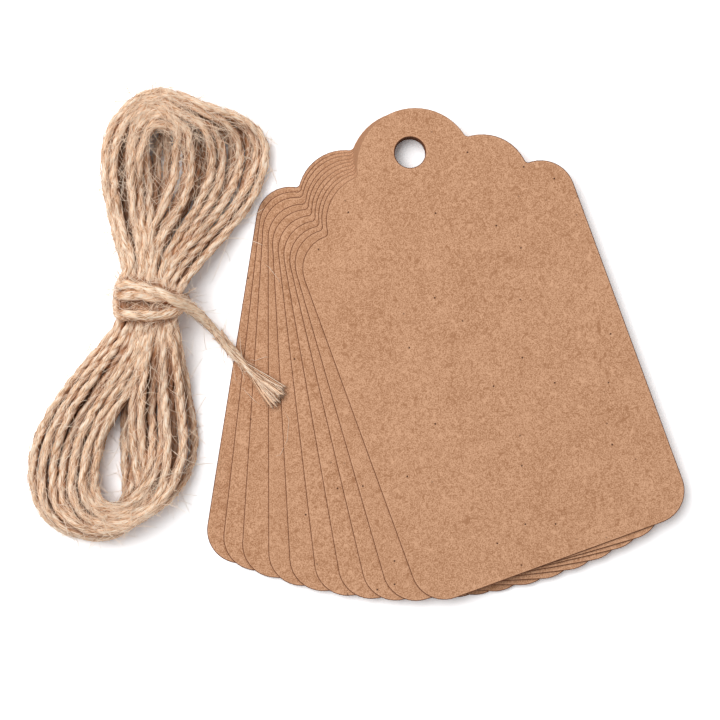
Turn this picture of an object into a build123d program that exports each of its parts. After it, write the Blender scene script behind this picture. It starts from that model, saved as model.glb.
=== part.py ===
from build123d import *
import math
import os

import numpy as np

# Gift tags of kraft card fanned about their punched holes, with a hank of jute twine beside them.
# Millimetres, +Z up. The origin is on the table, under the common centre of the holes.
# Before the fan turns it, a tag lies down from its hole along -Y.

# Card
tag_width = 60.0
tag_length = 100.0
card_thickness = 0.4
card_gap = 0.05
hole_diameter = 6.5

# Scalloped top, measured down from the top of the crown and in from the tag's side
hole_drop = 9.2
crown_radius = 12.3
scallop_radius = 9.9
scallop_offset = 17.8
scallop_drop = 10.2
shoulder_radius = 7.2
shoulder_drop = 19.7
notch_fillet = 0.8
corner_radius = 7.0

# Turn of each tag in the fan, in degrees, from the lowest card to the top one
fan_angles = (-8.9, -6.4, -3.6, 0.2, 3.2, 6.7, 10.0, 13.3, 16.1, 20.0)

# Twine, with the clear gap between strands and the gap to a card that it lies on
twine_diameter = 2.0
twine_sides = 4
strand_gap = 0.5
seat_clearance = 0.3

# Place of the hank: its waist out from a tag's side and down from the holes, and its lean in degrees
hank_offset = 26.2
hank_drop = 31.0
hank_lean = 12.0

# Hank: loops in a layer, layers, the wider step at the waist, and how much of a climb is done at the crown
loops_per_layer = 2
layer_count = 4
waist_step = 2.65
outer_climb_share = 0.35
inner_climb_share = 0.65

# Stations of the innermost and the outermost loop, from the waist: across, then along the hank
upper_right = ((-0.6, 29.6), (17.0, 31.0))
upper_crown = ((-6.2, 36.6), (-8.0, 43.6))
upper_left = ((-8.0, 27.0), (-14.8, 24.5))
lower_left = ((-5.6, -34.8), (-17.0, -36.6))
lower_crown = ((0.2, -42.4), (1.4, -48.2))
lower_right = ((2.2, -33.0), (15.0, -30.0))

# Wrap round the waist: turns, step along the hank, corner radius, gap, and where its first pass is level
wrap_turns = 3
wrap_step = 2.6
wrap_corner = 2.6
wrap_clearance = 0.9
wrap_entry = 2.4

# Tail: first run, stations across and along the hank, the share of its fall at each, and its frayed end
tail_lead = 4.0
tail_stations = ((15.4, -5.4), (19.6, -7.6), (23.4, -9.8), (26.4, -11.5))
tail_fall_shares = (0.28, 0.7, 0.96, 1.0)
tags_under_tail = 5
fray_length = 6.0
fray_width = 4.2
fray_height = 1.6

# Share of the shorter of two runs that a bend of the tail takes up
bend_share = 0.45

half_width = tag_width / 2
tag_step = card_thickness + card_gap
card_level = tags_under_tail * tag_step - card_gap
twine_radius = twine_diameter / 2
layer_step = twine_diameter + strand_gap
loop_count = loops_per_layer * layer_count
last_column = loops_per_layer - 1
straight_limit = 1e-6


def circle_meeting(centre_a, radius_a, centre_b, radius_b):
    """Upper meeting point of two circles, the second lying to the right of the first."""
    dx = centre_b[0] - centre_a[0]
    dy = centre_b[1] - centre_a[1]
    apart = math.hypot(dx, dy)
    along = (apart**2 + radius_a**2 - radius_b**2) / (2 * apart)
    aside = math.sqrt(radius_a**2 - along**2)
    return (
        centre_a[0] + (along * dx - aside * dy) / apart,
        centre_a[1] + (along * dy + aside * dx) / apart,
    )


def arc_between(centre, radius, start, end):
    """Arc about a centre from one point to another, the short way round."""
    middle = Vector(*start) + Vector(*end) - 2 * Vector(*centre)
    through = Vector(*centre) + middle.normalized() * radius
    return ThreePointArc(start, through, end)


def tag_face():
    """Die-cut outline: a round crown, a scallop and a shoulder on each side, and a straight foot."""
    top = hole_drop
    bottom = top - tag_length
    crown = (0, top - crown_radius)
    scallop = (half_width - scallop_offset, top - scallop_drop - scallop_radius)
    shoulder = (half_width - shoulder_radius, top - shoulder_drop - shoulder_radius)
    foot = (half_width - corner_radius, bottom + corner_radius)
    upper_notch = circle_meeting(crown, crown_radius, scallop, scallop_radius)
    lower_notch = circle_meeting(scallop, scallop_radius, shoulder, shoulder_radius)
    side_top = (half_width, shoulder[1])
    side_end = (half_width, foot[1])
    foot_start = (foot[0], bottom)
    half = Curve() + [
        arc_between(crown, crown_radius, (0, top), upper_notch),
        arc_between(scallop, scallop_radius, upper_notch, lower_notch),
        arc_between(shoulder, shoulder_radius, lower_notch, side_top),
        Line(side_top, side_end),
        arc_between(foot, corner_radius, side_end, foot_start),
        Line(foot_start, (0, bottom)),
    ]
    outline = make_face(half + mirror(half, about=Plane.YZ))
    notches = []
    for side in (-1, 1):
        for notch in (upper_notch, lower_notch):
            corner = Vector(side * notch[0], notch[1])
            notches += outline.vertices().sort_by_distance(corner)[:1]
    return fillet(notches, notch_fillet) - Circle(hole_diameter / 2)


def unit(vector):
    return vector / np.linalg.norm(vector)


def run_edge(start, direction, end):
    """Arc that leaves a point in a given direction and reaches another, or a line where it points there."""
    aside = np.cross(unit(direction), unit(end - start))
    if np.linalg.norm(aside) < straight_limit:
        return Edge.make_line(Vector(*start), Vector(*end))
    return Edge.make_tangent_arc(Vector(*start), Vector(*direction), Vector(*end))


def biarc(start, start_dir, end, end_dir):
    """Two arcs that leave one point and reach the next in given directions and meet smoothly.

    One line does where both directions point at the next point.
    """
    chord = end - start
    reach = chord @ (start_dir + end_dir)
    if reach > (2 - straight_limit) * np.linalg.norm(chord):
        return [run_edge(start, chord, end)]
    opening = 2 * (1 - start_dir @ end_dir)
    if opening > straight_limit:
        arm = (math.sqrt(reach**2 + opening * (chord @ chord)) - reach) / opening
    else:
        arm = (chord @ chord) / (2 * reach)
    middle = (start + end + arm * (start_dir - end_dir)) / 2
    half = middle - start
    middle_dir = 2 * (half @ start_dir) / (half @ half) * half - start_dir
    return [run_edge(start, start_dir, middle), run_edge(middle, middle_dir, end)]


def biarc_chain(points, directions):
    """Edges of a smooth path through points with a direction at each."""
    edges = []
    ends = zip(points, directions, points[1:], directions[1:])
    for start, start_dir, end, end_dir in ends:
        edges += biarc(start, start_dir, end, end_dir)
    return edges


def twine_section(start, direction):
    """Section of the twine at the start of a path, standing on a corner where the path is level."""
    across = Vector(0, 0, 1).cross(direction)
    return Plane(origin=start, x_dir=across, z_dir=direction) * RegularPolygon(twine_radius, twine_sides)


def swept_twine(edges):
    path = Wire(edges)
    return sweep(twine_section(path @ 0, path % 0), path=path)


def path_points(edges, samples=10):
    """Evenly spaced points on each edge, in order along the path."""
    shares = [i / samples for i in range(samples)]
    return np.array([tuple(edge @ share) for edge in edges for share in shares])


def own_gap(points):
    """Least clear distance of a strand from the rest of itself, past its own bend."""
    steps = np.linalg.norm(np.diff(points, axis=0), axis=1)
    run = np.concatenate(([0], np.cumsum(steps)))
    apart = np.linalg.norm(points[:, None] - points[None], axis=2)
    far_along = np.abs(run[:, None] - run[None]) > math.pi * twine_diameter
    return apart[far_along].min() - twine_diameter


def loop_place(station, column, layer):
    """Place of a loop at a station: its column in the layer, each layer lying a little further out."""
    share = (layer_count * column + layer) / (layer_count * last_column + layer_count - 1)
    inner, outer = (np.array(point) for point in station)
    return inner + share * (outer - inner)


def waist_place(side, column):
    return np.array((side * (column + 1 / 2) * waist_step, 0))


def hank_stations():
    """Stations of the wound hank, eight a loop, each a point and its climb in layers.

    A layer winds outwards and the next one inwards. A loop moves over by one column in its lower half,
    and the last loop of a layer climbs to the next one there instead, swinging half a column out.
    """
    stations = []

    def add(place, level, lift=0, climb=0):
        height = twine_radius + level * layer_step + lift
        stations.append((np.array((*place, height)), climb))

    for turn in range(loop_count):
        layer, place = divmod(turn, loops_per_layer)
        outward = layer % 2 == 0
        column = place if outward else last_column - place
        quarter = 1 / 4 if outward else -1 / 4
        climb = 1 if place == last_column else 0
        crown_level = layer + climb * (outer_climb_share if outward else inner_climb_share)
        beyond_crown = quarter if climb else 3 * quarter
        add(waist_place(1, column), layer, layer_step)
        for station in (upper_right, upper_crown, upper_left):
            add(loop_place(station, column, layer), layer)
        add(waist_place(-1, column), layer, layer_step)
        add(loop_place(lower_left, column + quarter, layer), layer)
        add(loop_place(lower_crown, column + 2 * quarter, crown_level), crown_level, climb=climb)
        add(loop_place(lower_right, column + beyond_crown, layer + climb), layer + climb)
    return stations


def station_directions(stations):
    """Direction at each inner station, along the circle through it and its neighbours seen from above."""
    directions = []
    for (before, _), (point, climb), (after, _) in zip(stations, stations[1:], stations[2:]):
        arriving = (point - before)[:2]
        leaving = (after - point)[:2]
        ratio = np.linalg.norm(leaving) / np.linalg.norm(arriving)
        level_dir = unit(arriving * ratio + leaving / ratio)
        run = np.linalg.norm(arriving) + np.linalg.norm(leaving)
        directions.append(unit(np.array((*level_dir, climb * layer_step / run))))
    return directions


def end_of(edge):
    """Last point of an edge and the direction in which it arrives there."""
    return np.array(tuple(edge @ 1)), np.array(tuple(edge % 1))


def loop_edges():
    """Path of the loops, from a cut end in the waist to where the last loop comes back down over it."""
    before_start = (np.array((*loop_place(lower_right, 0, 0), twine_radius)), 0)
    stations = [before_start] + hank_stations()[:-3]
    directions = station_directions(stations)
    points = [point for point, climb in stations[1:-1]]
    cut_end = points[0] - twine_diameter * directions[0]
    first_run = biarc(cut_end, directions[0], points[0], directions[0])
    over_waist = stations[-1][0] + np.array((0, 0, twine_diameter + wrap_clearance))
    last_run = biarc(points[-1], directions[-1], over_waist, np.array((0, -1.0, 0)))
    return first_run + biarc_chain(points, directions) + last_run[:1]


def wrap_edges(start_edge):
    """Path of the wrap: on from the last loop, over the waist, round it and out over the top.

    It steps along the hank in its straight runs, each of which leads from one rounded corner to the next,
    and ends straight for one twine diameter.
    """
    side = (last_column + 1 / 2) * waist_step + twine_diameter + wrap_clearance
    low = twine_radius
    high = low + layer_count * layer_step + twine_diameter + wrap_clearance
    inset = side - wrap_corner
    level = wrap_turns / 2 * wrap_step
    runs = (
        ((side, high - wrap_corner), (side, low + wrap_corner)),
        ((inset, low), (-inset, low)),
        ((-side, low + wrap_corner), (-side, high - wrap_corner)),
        ((-inset, high), (inset, high)),
    )
    point, direction = end_of(start_edge)
    points = [point, np.array((wrap_entry, level, high)), np.array((inset, level, high))]
    directions = [direction, np.array((1.0, 0, 0)), np.array((1.0, 0, 0))]
    for number in range(wrap_turns * len(runs)):
        begin, end = runs[number % len(runs)]
        along = level - number / len(runs) * wrap_step
        run_start = np.array((begin[0], along, begin[1]))
        run_end = np.array((end[0], along - wrap_step / len(runs), end[1]))
        points += [run_start, run_end]
        directions += [unit(run_end - run_start)] * 2
    points.append(points[-1] + twine_diameter * directions[-1])
    directions.append(directions[-1])
    return biarc_chain(points, directions)


def tail_corner_radii(points):
    """Largest bend that the two runs at each inner point leave room for."""
    radii = []
    for before, point, after in zip(points, points[1:], points[2:]):
        arriving = point - before
        leaving = after - point
        turn = math.radians(arriving.get_angle(leaving))
        radii.append(bend_share * min(arriving.length, leaving.length) / math.tan(turn / 2))
    return radii


def tail_path(start_edge):
    """Points and bend radii of the free tail, falling from the wrap to the cards it lies on."""
    start = start_edge @ 1
    rest = card_level + seat_clearance + twine_radius
    points = [start, start + tail_lead * (start_edge % 1)]
    for (across, along), fall in zip(tail_stations, tail_fall_shares):
        points.append(Vector(across, along, start.Z + fall * (rest - start.Z)))
    return points, tail_corner_radii(points)


def frayed_end(start, direction):
    """Loose fibres at the tip of the tail, spread flat over the card."""
    onward = Vector(direction.X, direction.Y, 0).normalized()
    across = Vector(0, 0, 1).cross(onward)
    tip_level = card_level + seat_clearance + fray_height / 2
    tip_centre = start + fray_length * onward
    tip = Plane(origin=(tip_centre.X, tip_centre.Y, tip_level), x_dir=across, z_dir=onward)
    corners = [math.tau * number / twine_sides for number in range(twine_sides)]
    rim = [(fray_width / 2 * math.cos(a), fray_height / 2 * math.sin(a)) for a in corners]
    return loft([twine_section(start, direction), tip * Polygon(*rim, align=None)])


tag = extrude(tag_face(), card_thickness)
nodes = {}
for number, angle in enumerate(fan_angles):
    nodes[f"tag_{number + 1:02d}"] = Pos(0, 0, number * tag_step) * Rot(0, 0, angle) * tag

loops = loop_edges()
hank_path = loops + wrap_edges(loops[-1])
tail_points, tail_radii = tail_path(hank_path[-1])
tail_line = FilletPolyline(*tail_points, radius=tail_radii)

hank = swept_twine(hank_path)
tail_tube = swept_twine(tail_line.edges())
tail = tail_tube + frayed_end(tail_line @ 1, tail_line % 1)

section_area = RegularPolygon(twine_radius, twine_sides).area
for name, solid, edges in (("hank", hank, hank_path), ("tail", tail_tube, tail_line.edges())):
    length = sum(edge.length for edge in edges)
    filled = solid.volume / (section_area * length)
    print(f"{name}: {length:.0f} mm long, volume over section times length {filled:.4f}")
hank_gap = own_gap(path_points(hank_path))
print(f"hank: {loop_count} loops, {wrap_turns} turns at the waist, least gap to itself {hank_gap:.2f} mm")
print("tail: bend radii", ", ".join(f"{radius:.1f}" for radius in tail_radii), "mm")

hank_location = Pos(-half_width - hank_offset, -hank_drop, 0) * Rot(0, 0, -hank_lean)
nodes["twine_hank"] = hank_location * hank
nodes["twine_tail"] = hank_location * tail

os.makedirs("parts", exist_ok=True)
for name, node in nodes.items():
    export_step(node, f"parts/{name}.step")
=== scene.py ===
import math

import bmesh
import bpy
import numpy as np
from bpy.props import FloatProperty, FloatVectorProperty, IntProperty, PointerProperty
from mathutils import Matrix, Vector


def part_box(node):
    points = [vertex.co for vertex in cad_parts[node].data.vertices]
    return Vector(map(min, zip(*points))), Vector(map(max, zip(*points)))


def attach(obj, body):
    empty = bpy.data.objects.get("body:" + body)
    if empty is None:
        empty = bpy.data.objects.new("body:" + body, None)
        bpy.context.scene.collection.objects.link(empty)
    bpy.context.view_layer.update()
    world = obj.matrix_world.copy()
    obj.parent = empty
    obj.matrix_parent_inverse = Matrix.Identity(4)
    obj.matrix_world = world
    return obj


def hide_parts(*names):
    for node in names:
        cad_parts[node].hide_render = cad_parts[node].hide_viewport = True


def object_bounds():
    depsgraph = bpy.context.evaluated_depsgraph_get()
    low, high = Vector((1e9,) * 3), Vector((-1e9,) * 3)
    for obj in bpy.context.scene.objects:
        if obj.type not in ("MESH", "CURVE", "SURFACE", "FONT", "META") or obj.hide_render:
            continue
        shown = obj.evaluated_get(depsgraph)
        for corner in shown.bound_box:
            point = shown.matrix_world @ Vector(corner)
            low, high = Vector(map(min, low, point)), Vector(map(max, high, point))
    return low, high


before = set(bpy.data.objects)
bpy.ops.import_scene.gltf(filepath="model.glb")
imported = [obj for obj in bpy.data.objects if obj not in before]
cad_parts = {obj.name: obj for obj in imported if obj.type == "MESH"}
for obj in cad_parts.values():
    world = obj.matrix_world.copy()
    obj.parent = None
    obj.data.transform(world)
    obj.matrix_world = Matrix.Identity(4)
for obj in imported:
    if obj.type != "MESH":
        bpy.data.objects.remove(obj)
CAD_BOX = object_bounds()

bl_info = {
    "name": "Kraft gift tags with a hank of twine",
    "version": (1, 0, 0),
    "blender": (4, 5, 0),
    "location": "3D View > Sidebar > Gift tags",
    "description": "Cuts and fans the kraft cards, winds and frays the jute twine, and sets the studio",
    "category": "Object",
}

MM = 0.001
TURN = 2 * math.pi

# Die-cut outline of a card in millimetres, with the punched hole at the origin
HOLE_DROP = 9.2
CROWN_RADIUS = 12.3
SCALLOP_RADIUS = 9.9
SCALLOP_OFFSET = 17.8
SCALLOP_DROP = 10.2
SHOULDER_RADIUS = 7.2
SHOULDER_DROP = 19.7
NOTCH_FILLET = 0.8
CORNER_RADIUS = 7.0

ARC_STEPS, SHOULDER_STEPS, HOLE_STEPS = 12, 10, 24

FLAT = 0.99  # upright part of a flat face's normal
WELD = 1e-6  # distance in metres at which points are one
SEED_STEP = 3.7  # from the grain of one card to that of the next

# Turn of each card in the fan, from the lowest one up, and the height of its top
FAN_DEGREES = (-8.9, -6.4, -3.6, 0.2, 3.2, 6.7, 10.0, 13.3, 16.1, 20.0)
CARD_TOPS = [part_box(f"tag_{number:02d}")[1][2] for number in range(1, len(FAN_DEGREES) + 1)]

# Stations of a loop of the hank, from the low left of the waist and round, in millimetres:
# the innermost lane, the outermost lane, the column of LOOP_LANES, and the height of the lowest strand
LOOP_STATIONS = (
    ((-53.8, -36.9), (-60.5, -36.4), 0.0, 3.05),
    ((-57.6, -47.6), (-70.8, -47.0), 0.0, 1.4),
    ((-64.7, -57.6), (-77.6, -57.3), 0.0, 1.05),
    ((-66.7, -66.6), (-80.4, -67.2), 0.0, 1.05),
    ((-66.2, -72.4), (-77.0, -77.9), 0.35, 1.05),
    ((-63.0, -75.2), (-63.4, -82.0), 1.0, 1.05),
    ((-60.2, -72.6), (-50.0, -75.9), 1.6, 1.05),
    ((-59.9, -64.9), (-44.8, -64.9), 2.0, 1.05),
    ((-60.2, -52.6), (-46.3, -51.9), 2.0, 1.3),
    ((-55.8, -37.3), (-48.7, -37.7), 2.0, 3.05),
    ((-55.4, -31.0), (-48.0, -31.2), 2.5, 3.05),
    ((-55.8, -24.7), (-45.9, -25.4), 3.0, 3.05),
    ((-53.7, -16.8), (-38.6, -17.2), 3.4, 1.5),
    ((-50.6, -10.6), (-33.7, -11.1), 3.6, 1.05),
    ((-49.0, -4.2), (-30.6, -3.4), 4.0, 1.05),
    ((-49.2, 0.8), (-30.4, 2.7), 4.0, 1.05),
    ((-50.0, 3.8), (-34.4, 6.9), 4.15, 1.05),
    ((-51.4, 5.2), (-42.5, 9.4), 4.35, 1.05),
    ((-53.6, 5.4), (-52.3, 13.0), 5.0, 1.05),
    ((-55.9, 2.9), (-58.2, 10.8), 5.5, 1.05),
    ((-57.2, -1.3), (-63.1, 4.6), 5.85, 1.05),
    ((-57.5, -6.5), (-64.0, -5.1), 6.0, 1.05),
    ((-56.4, -15.1), (-62.0, -15.9), 6.0, 1.5),
    ((-55.0, -24.3), (-59.1, -23.9), 6.0, 3.05),
)

# Lane of each loop, in the order of winding, from 0 innermost to 1 outermost: low left, low crown,
# low right, upper right by the waist, upper right, upper crown, upper left
LOOP_LANES = (
    (0.97, 0.20, 0.00, 0.10, -0.23, 0.26, 1.00),
    (0.80, 0.82, 0.28, 0.00, -0.11, 0.22, 0.72),
    (0.63, 0.52, 0.71, 0.82, 0.82, 0.74, -0.56),
    (0.29, 0.22, 0.86, 0.62, 0.63, 0.74, 0.44),
    (0.12, 0.14, 0.14, 0.42, 0.31, 0.36, -0.15),
    (0.46, 0.52, 0.43, 0.20, 0.23, 0.34, -0.40),
    (-0.05, 0.20, 0.57, 0.45, 0.46, 0.74, 0.14),
    (0.97, 1.03, 0.14, 0.92, 0.98, 0.98, 1.00),
    (0.80, 1.00, 0.28, 0.50, 0.52, 0.50, 0.72),
    (0.46, 0.80, 0.71, 0.72, 0.91, 0.96, 0.16),
    (0.29, 0.52, 1.00, 0.35, 0.40, 0.74, 1.00),
    (0.12, -0.02, 0.43, 0.58, 0.72, 0.94, 0.74),
    (-0.05, -0.08, 0.57, 0.10, 0.12, 0.00, -0.10),
    (0.63, 0.80, 0.64, 1.00, 1.00, 1.00, 1.00),
    (0.12, 0.24, 0.86, 0.18, 0.18, 0.49, 0.16),
    (0.29, 0.54, 0.88, -0.06, 0.00, 0.72, 0.72),
)

# Wrap round the waist: across and along in millimetres, and the share of the way from the table to its top
WRAP_POINTS = (
    (-59.6, -27.0, 0.80), (-60.6, -29.0, 0.58), (-61.1, -31.2, 0.46), (-61.0, -33.2, 0.56), (-60.3, -34.4, 0.80),
    (-58.6, -34.5, 1.02), (-56.6, -34.4, 1.07), (-54.2, -34.8, 1.06), (-51.2, -34.6, 1.03), (-48.6, -33.6, 0.94),
    (-46.9, -32.6, 0.64), (-47.0, -32.2, 0.28), (-49.2, -31.9, 0.00), (-54.0, -31.3, 0.00), (-58.8, -30.8, 0.00),
    (-60.7, -30.6, 0.28), (-60.7, -30.4, 0.70), (-59.0, -30.3, 1.02), (-54.4, -30.6, 1.06), (-49.7, -31.2, 1.02),
    (-46.9, -31.2, 0.66), (-47.0, -30.6, 0.28), (-49.2, -29.9, 0.00), (-54.0, -29.2, 0.00), (-58.8, -28.7, 0.00),
    (-60.5, -28.5, 0.28), (-60.5, -28.1, 0.70), (-59.0, -28.3, 1.03), (-55.4, -28.8, 1.10), (-51.2, -30.2, 1.13),
    (-48.1, -31.8, 1.03),
)

# Tail, from the wrap down to the frayed tip on the cards, in millimetres
TAIL_POINTS = (
    (-45.6, -33.0, 8.4), (-43.0, -35.3, 5.4), (-40.4, -38.1, 3.5), (-37.9, -41.0, 2.6),
    (-35.5, -43.9, 2.5), (-32.0, -47.5, 2.9), (-28.2, -51.0, 3.3),
)

# Slanted end of the frayed tip, and single fibres that lie loose on the cards, in millimetres
FRAY_EDGE = ((-26.2, -49.8), (-28.4, -53.6))
STRAY_FIBRES = (
    ((-26.8, -53.4), (-25.4, -56.1), (-25.8, -60.3), (-27.2, -63.4), (-30.4, -64.3)),
    ((-34.6, -43.2), (-32.5, -43.6), (-30.4, -42.8), (-28.4, -43.2)),
    ((-36.6, -47.6), (-34.6, -50.1), (-32.5, -52.2), (-30.4, -53.6)),
    ((-31.0, -22.9), (-29.6, -24.0), (-28.4, -25.6), (-27.4, -26.9), (-28.6, -27.9)),
)


def sized(name, description, default, low, high):
    """A length in metres that the user may change."""
    return FloatProperty(
        name=name, description=description, default=default, min=low, max=high,
        precision=5, unit="LENGTH", subtype="DISTANCE",
    )


def coloured(name, description, default):
    """A colour that the user may change."""
    return FloatVectorProperty(
        name=name, description=description, default=default, min=0, max=1, size=3, subtype="COLOR"
    )


class CardSettings(bpy.types.PropertyGroup):
    """Sizes and colours of the cards"""

    width: sized("Width", "Width of a card", 0.060, 0.056, 0.070)
    length: sized("Length", "Length of a card from its crown to its foot", 0.100, 0.05, 0.2)
    thickness: sized(
        "Thickness", "Thickness of the card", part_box("tag_01")[1][2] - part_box("tag_01")[0][2], 0.0002, 0.002
    )
    hole: sized("Hole", "Diameter of the punched hole", 0.0065, 0.003, 0.008)
    rim: sized("Rim", "Width of the edge that the die rounds over", 0.00017, 0.00002, 0.0002)
    kraft: coloured("Kraft", "Colour of the card's face", (0.536, 0.280, 0.154))
    cut_edge: coloured("Cut edge", "Colour of the card's cut edge", (0.34, 0.17, 0.095))
    # Rim colour: dark partly as the cut edge's own colour, partly as painted shade for the shadow line between
    # stacked cards
    rim_and_painted_shade: coloured("Pressed rim", "Colour of the rim that the die presses dark", (0.135, 0.048, 0.021))


class TwineSettings(bpy.types.PropertyGroup):
    """Sizes and colours of the twine"""

    diameter: sized("Diameter", "Diameter of the twine", 0.002, 0.001, 0.003)
    lay: sized("Lay", "Length in which a ply goes once round", 0.0095, 0.003, 0.02)
    clinging: IntProperty(
        name="Clinging fibres", description="Fibres that lie along the plies", default=1200, min=0, max=4000
    )
    hairs: IntProperty(name="Hairs", description="Fibres that stand off the twine", default=3300, min=0, max=4000)
    brush: IntProperty(name="Brush", description="Fibres of the frayed tip", default=220, min=0, max=600)
    pale: coloured("Pale jute", "Colour of the palest fibres", (1.0, 0.835, 0.665))
    straw: coloured("Straw jute", "Colour of most fibres", (0.93, 0.605, 0.375))
    brown: coloured("Brown jute", "Colour of the darkest fibres", (0.33, 0.165, 0.085))


class StageSettings(bpy.types.PropertyGroup):
    """Floor, lamp and camera"""

    floor: coloured("Floor", "Colour of the floor", (0.93, 0.93, 0.94))
    key_power: FloatProperty(
        name="Key lamp", description="Power of the large lamp at the upper left",
        default=8.1, min=0, max=50, unit="POWER",
    )
    fill: FloatProperty(name="Fill", description="Even light from all round", default=0.38, min=0, max=2)
    distance: sized("Camera distance", "Distance of the camera from the cards", 0.5, 0.2, 2)
    picture: sized("Picture width", "Width that the picture takes in at the top card", 0.1506, 0.05, 0.5)
    tilt: FloatProperty(
        name="Camera tilt", description="Lean of the camera from straight above",
        default=math.radians(2.0), min=0, max=math.radians(30), unit="ROTATION", subtype="ANGLE",
    )


class GiftTagSettings(bpy.types.PropertyGroup):
    """All settings of the gift tags"""

    card: PointerProperty(type=CardSettings, name="Card", description="Cards")
    twine: PointerProperty(type=TwineSettings, name="Twine", description="Twine")
    stage: PointerProperty(type=StageSettings, name="Stage", description="Stage")


# Materials

SPECK_SHADE = (0.12, 0.07, 0.05)  # of a card's colour


def put(tree, kind, settings=None, **inputs):
    """A new shader node with its settings and its unlinked inputs."""
    node = tree.nodes.new("ShaderNode" + kind)
    for name, value in (settings or {}).items():
        setattr(node, name, value)
    for name, value in inputs.items():
        node.inputs[name.replace("_", " ")].default_value = value
    return node


def feed(tree, node, **values):
    """Links values to a node's inputs by their names."""
    for name, value in values.items():
        tree.links.new(value, node.inputs[name.replace("_", " ")])


def maths(tree, operation, first, second):
    """A Math node; each operand is a socket or a number."""
    node = put(tree, "Math", {"operation": operation})
    for socket, value in zip(node.inputs, (first, second)):
        if isinstance(value, (int, float)):
            socket.default_value = value
        else:
            tree.links.new(value, socket)
    return node.outputs[0]


def scaled(tree, value, by):
    """A value times a number or another value."""
    return maths(tree, "MULTIPLY", value, by)


def ranged(tree, value, low=0.0, high=1.0, to_low=0.0, to_high=1.0):
    """A value mapped from one range onto another, and held inside it."""
    node = put(tree, "MapRange", From_Min=low, From_Max=high, To_Min=to_low, To_Max=to_high)
    feed(tree, node, Value=value)
    return node.outputs["Result"]


def blended(tree, factor, first, second):
    """Two colours mixed by a factor; each is a socket or a colour."""
    node = put(tree, "Mix", {"data_type": "RGBA"})
    tree.links.new(factor, node.inputs[0])
    for socket, value in zip((node.inputs[6], node.inputs[7]), (first, second)):
        if isinstance(value, bpy.types.NodeSocket):
            tree.links.new(value, socket)
        else:
            socket.default_value = (*value, 1.0)
    return node.outputs[2]


def attribute(tree, name, output="Fac"):
    """A value that the mesh carries under a name."""
    return put(tree, "Attribute", {"attribute_name": name}).outputs[output]


def new_group(name, inputs, outputs):
    """A shader node group with its inputs and its outputs, which are plain values."""
    group = bpy.data.node_groups.new(name, "ShaderNodeTree")
    for label, kind in inputs:
        group.interface.new_socket(label, in_out="INPUT", socket_type=kind)
    for label in outputs:
        group.interface.new_socket(label, in_out="OUTPUT", socket_type="NodeSocketFloat")
    return group, group.nodes.new("NodeGroupInput"), group.nodes.new("NodeGroupOutput")


def noise(tree, vector, scale, detail, roughness=0.5, distortion=0.0, seed=None):
    """A noise texture's value, in four dimensions where it has a seed."""
    node = put(
        tree, "TexNoise", {"noise_dimensions": "4D" if seed else "3D"},
        Scale=scale, Detail=detail, Roughness=roughness, Distortion=distortion,
    )
    feed(tree, node, Vector=vector)
    if seed:
        feed(tree, node, W=seed)
    return node.outputs[0]


def kraft_grain():
    """Pulp grain, short fibres and dark specks of kraft card, different for each seed."""
    group, given, made = new_group(
        "kraft_grain",
        (("Vector", "NodeSocketVector"), ("Seed", "NodeSocketFloat")),
        ("Grain", "Pale fibres", "Dark fibres", "Specks", "Height"),
    )
    vector, seed = given.outputs["Vector"], given.outputs["Seed"]
    fine = noise(group, vector, scale=4000, detail=1, roughness=0.6, seed=seed)
    coarse = noise(group, vector, scale=1100, detail=2, roughness=0.6, seed=seed)
    cloud = noise(group, vector, scale=140, detail=2, seed=seed)
    broad = maths(group, "ADD", scaled(group, coarse, by=0.22), scaled(group, cloud, by=0.12))
    grain = maths(group, "ADD", scaled(group, fine, by=0.66), broad)
    feed(group, made, Grain=ranged(group, grain, low=0.39, high=0.61))

    for label, scale, patch_scale in (("Pale fibres", 620, 700), ("Dark fibres", 540, 800)):
        level = noise(group, vector, scale, detail=0, distortion=0.5, seed=seed)
        aside = maths(group, "ABSOLUTE", maths(group, "SUBTRACT", level, 0.5), 0.0)
        line = ranged(group, aside, low=0.008, high=0.05, to_low=1.0, to_high=0.0)
        patch = ranged(group, noise(group, vector, patch_scale, detail=0, seed=seed), low=0.53, high=0.64)
        feed(group, made, **{label: scaled(group, line, patch)})

    moved = put(group, "VectorMath", {"operation": "ADD"})
    group.links.new(vector, moved.inputs[0])
    group.links.new(seed, moved.inputs[1])
    cells = put(group, "TexVoronoi", {"voronoi_dimensions": "2D"}, Scale=165)
    feed(group, cells, Vector=moved.outputs[0])
    split = put(group, "SeparateColor")
    feed(group, split, Color=cells.outputs["Color"])
    speck = ranged(group, cells.outputs["Distance"], low=0.022, high=0.042, to_low=1.0, to_high=0.0)
    chosen = ranged(group, split.outputs[0], low=0.66, high=0.86)
    height = maths(group, "ADD", fine, scaled(group, coarse, by=0.8))
    feed(group, made, Specks=scaled(group, speck, chosen), Height=height)
    return group


def new_material(name):
    """A material with its node tree and its Principled shader."""
    material = bpy.data.materials.new(name)
    material.use_nodes = True
    return material, material.node_tree, material.node_tree.nodes["Principled BSDF"]


def bumped(tree, shader, height, strength, distance):
    """A Bump node from a height to the shader's normal."""
    bump = put(tree, "Bump", Strength=strength, Distance=distance)
    feed(tree, bump, Height=height)
    feed(tree, shader, Normal=bump.outputs["Normal"])


def shade(colour, times):
    """A colour made lighter or darker, by one number or by one for each part."""
    times = times if isinstance(times, tuple) else (times,) * 3
    return tuple(min(1.0, part * by) for part, by in zip(colour, times))


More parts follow.
